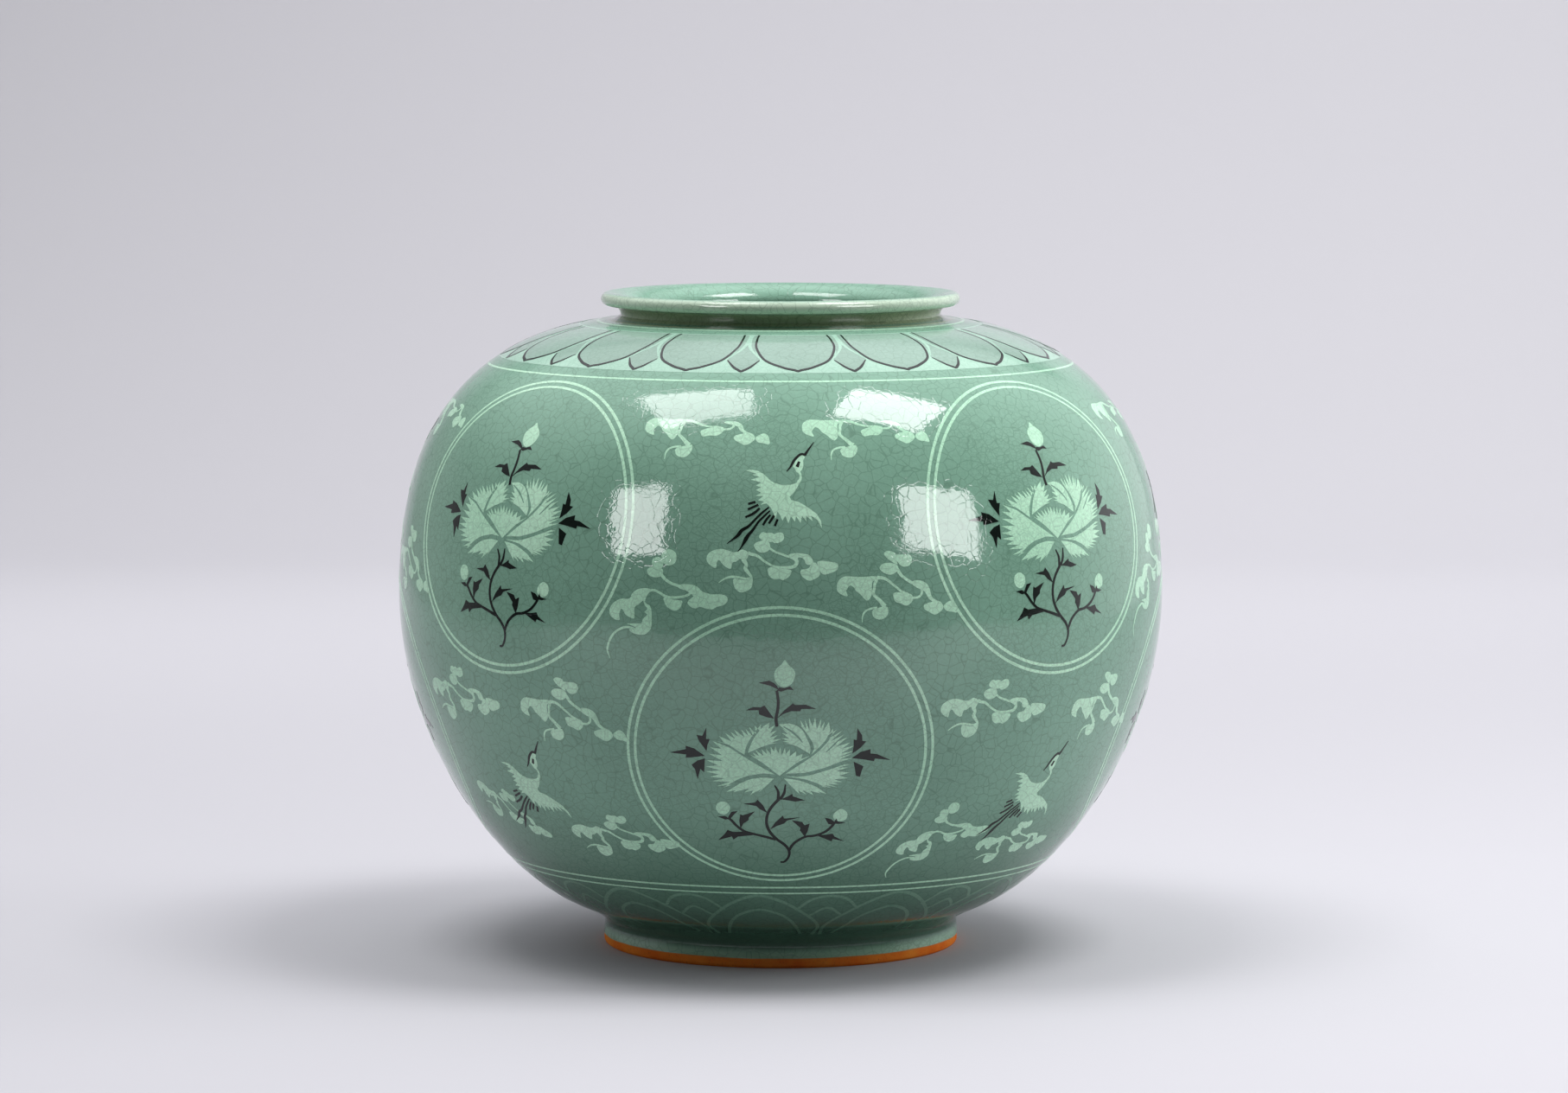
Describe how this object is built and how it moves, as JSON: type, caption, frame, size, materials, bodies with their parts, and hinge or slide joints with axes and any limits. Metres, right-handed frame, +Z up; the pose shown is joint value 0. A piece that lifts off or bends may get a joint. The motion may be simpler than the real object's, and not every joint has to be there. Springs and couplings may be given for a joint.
{
  "type": "vase",
  "caption": "Round wide-bellied celadon jar with a rolled lip, a low foot ring and inlaid white medallion rings, lines and lotus ground.",
  "frame": {"origin": "centre of the foot ring's standing face, on the surface that the jar stands on", "axes": "+Z up along the turning axis, towards the mouth; -Y faces the viewer, with a lower medallion in the middle"},
  "size_m": [0.3, 0.3, 0.2565],
  "materials": {
    "celadon_glaze": "glossy green glaze over grey stoneware",
    "foot": "thin glaze above a bare orange-brown standing edge",
    "white_slip": "white slip under glossy green glaze",
    "black_slip": "near-black slip under glossy green glaze",
    "bare_clay": "unglazed stoneware that burnt orange-brown in the kiln"
  },
  "bodies": {
    "root": {"foot_ring": "foot", "lower_bowl": "celadon_glaze", "upper_bowl": "celadon_glaze", "collar": "celadon_glaze", "lotus_ground": "white_slip", "collar_line": "white_slip", "shoulder_line": "white_slip", "base_line_upper": "white_slip", "base_line_lower": "white_slip", "upper_medallion_1_outer_ring": "white_slip", "upper_medallion_1_inner_ring": "white_slip", "upper_medallion_2_outer_ring": "white_slip", "upper_medallion_2_inner_ring": "white_slip", "upper_medallion_3_outer_ring": "white_slip", "upper_medallion_3_inner_ring": "white_slip", "upper_medallion_4_outer_ring": "white_slip", "upper_medallion_4_inner_ring": "white_slip", "lower_medallion_1_outer_ring": "white_slip", "lower_medallion_1_inner_ring": "white_slip", "lower_medallion_2_outer_ring": "white_slip", "lower_medallion_2_inner_ring": "white_slip", "lower_medallion_3_outer_ring": "white_slip", "lower_medallion_3_inner_ring": "white_slip", "lower_medallion_4_outer_ring": "white_slip", "lower_medallion_4_inner_ring": "white_slip"}
  },
  "joints": []
}
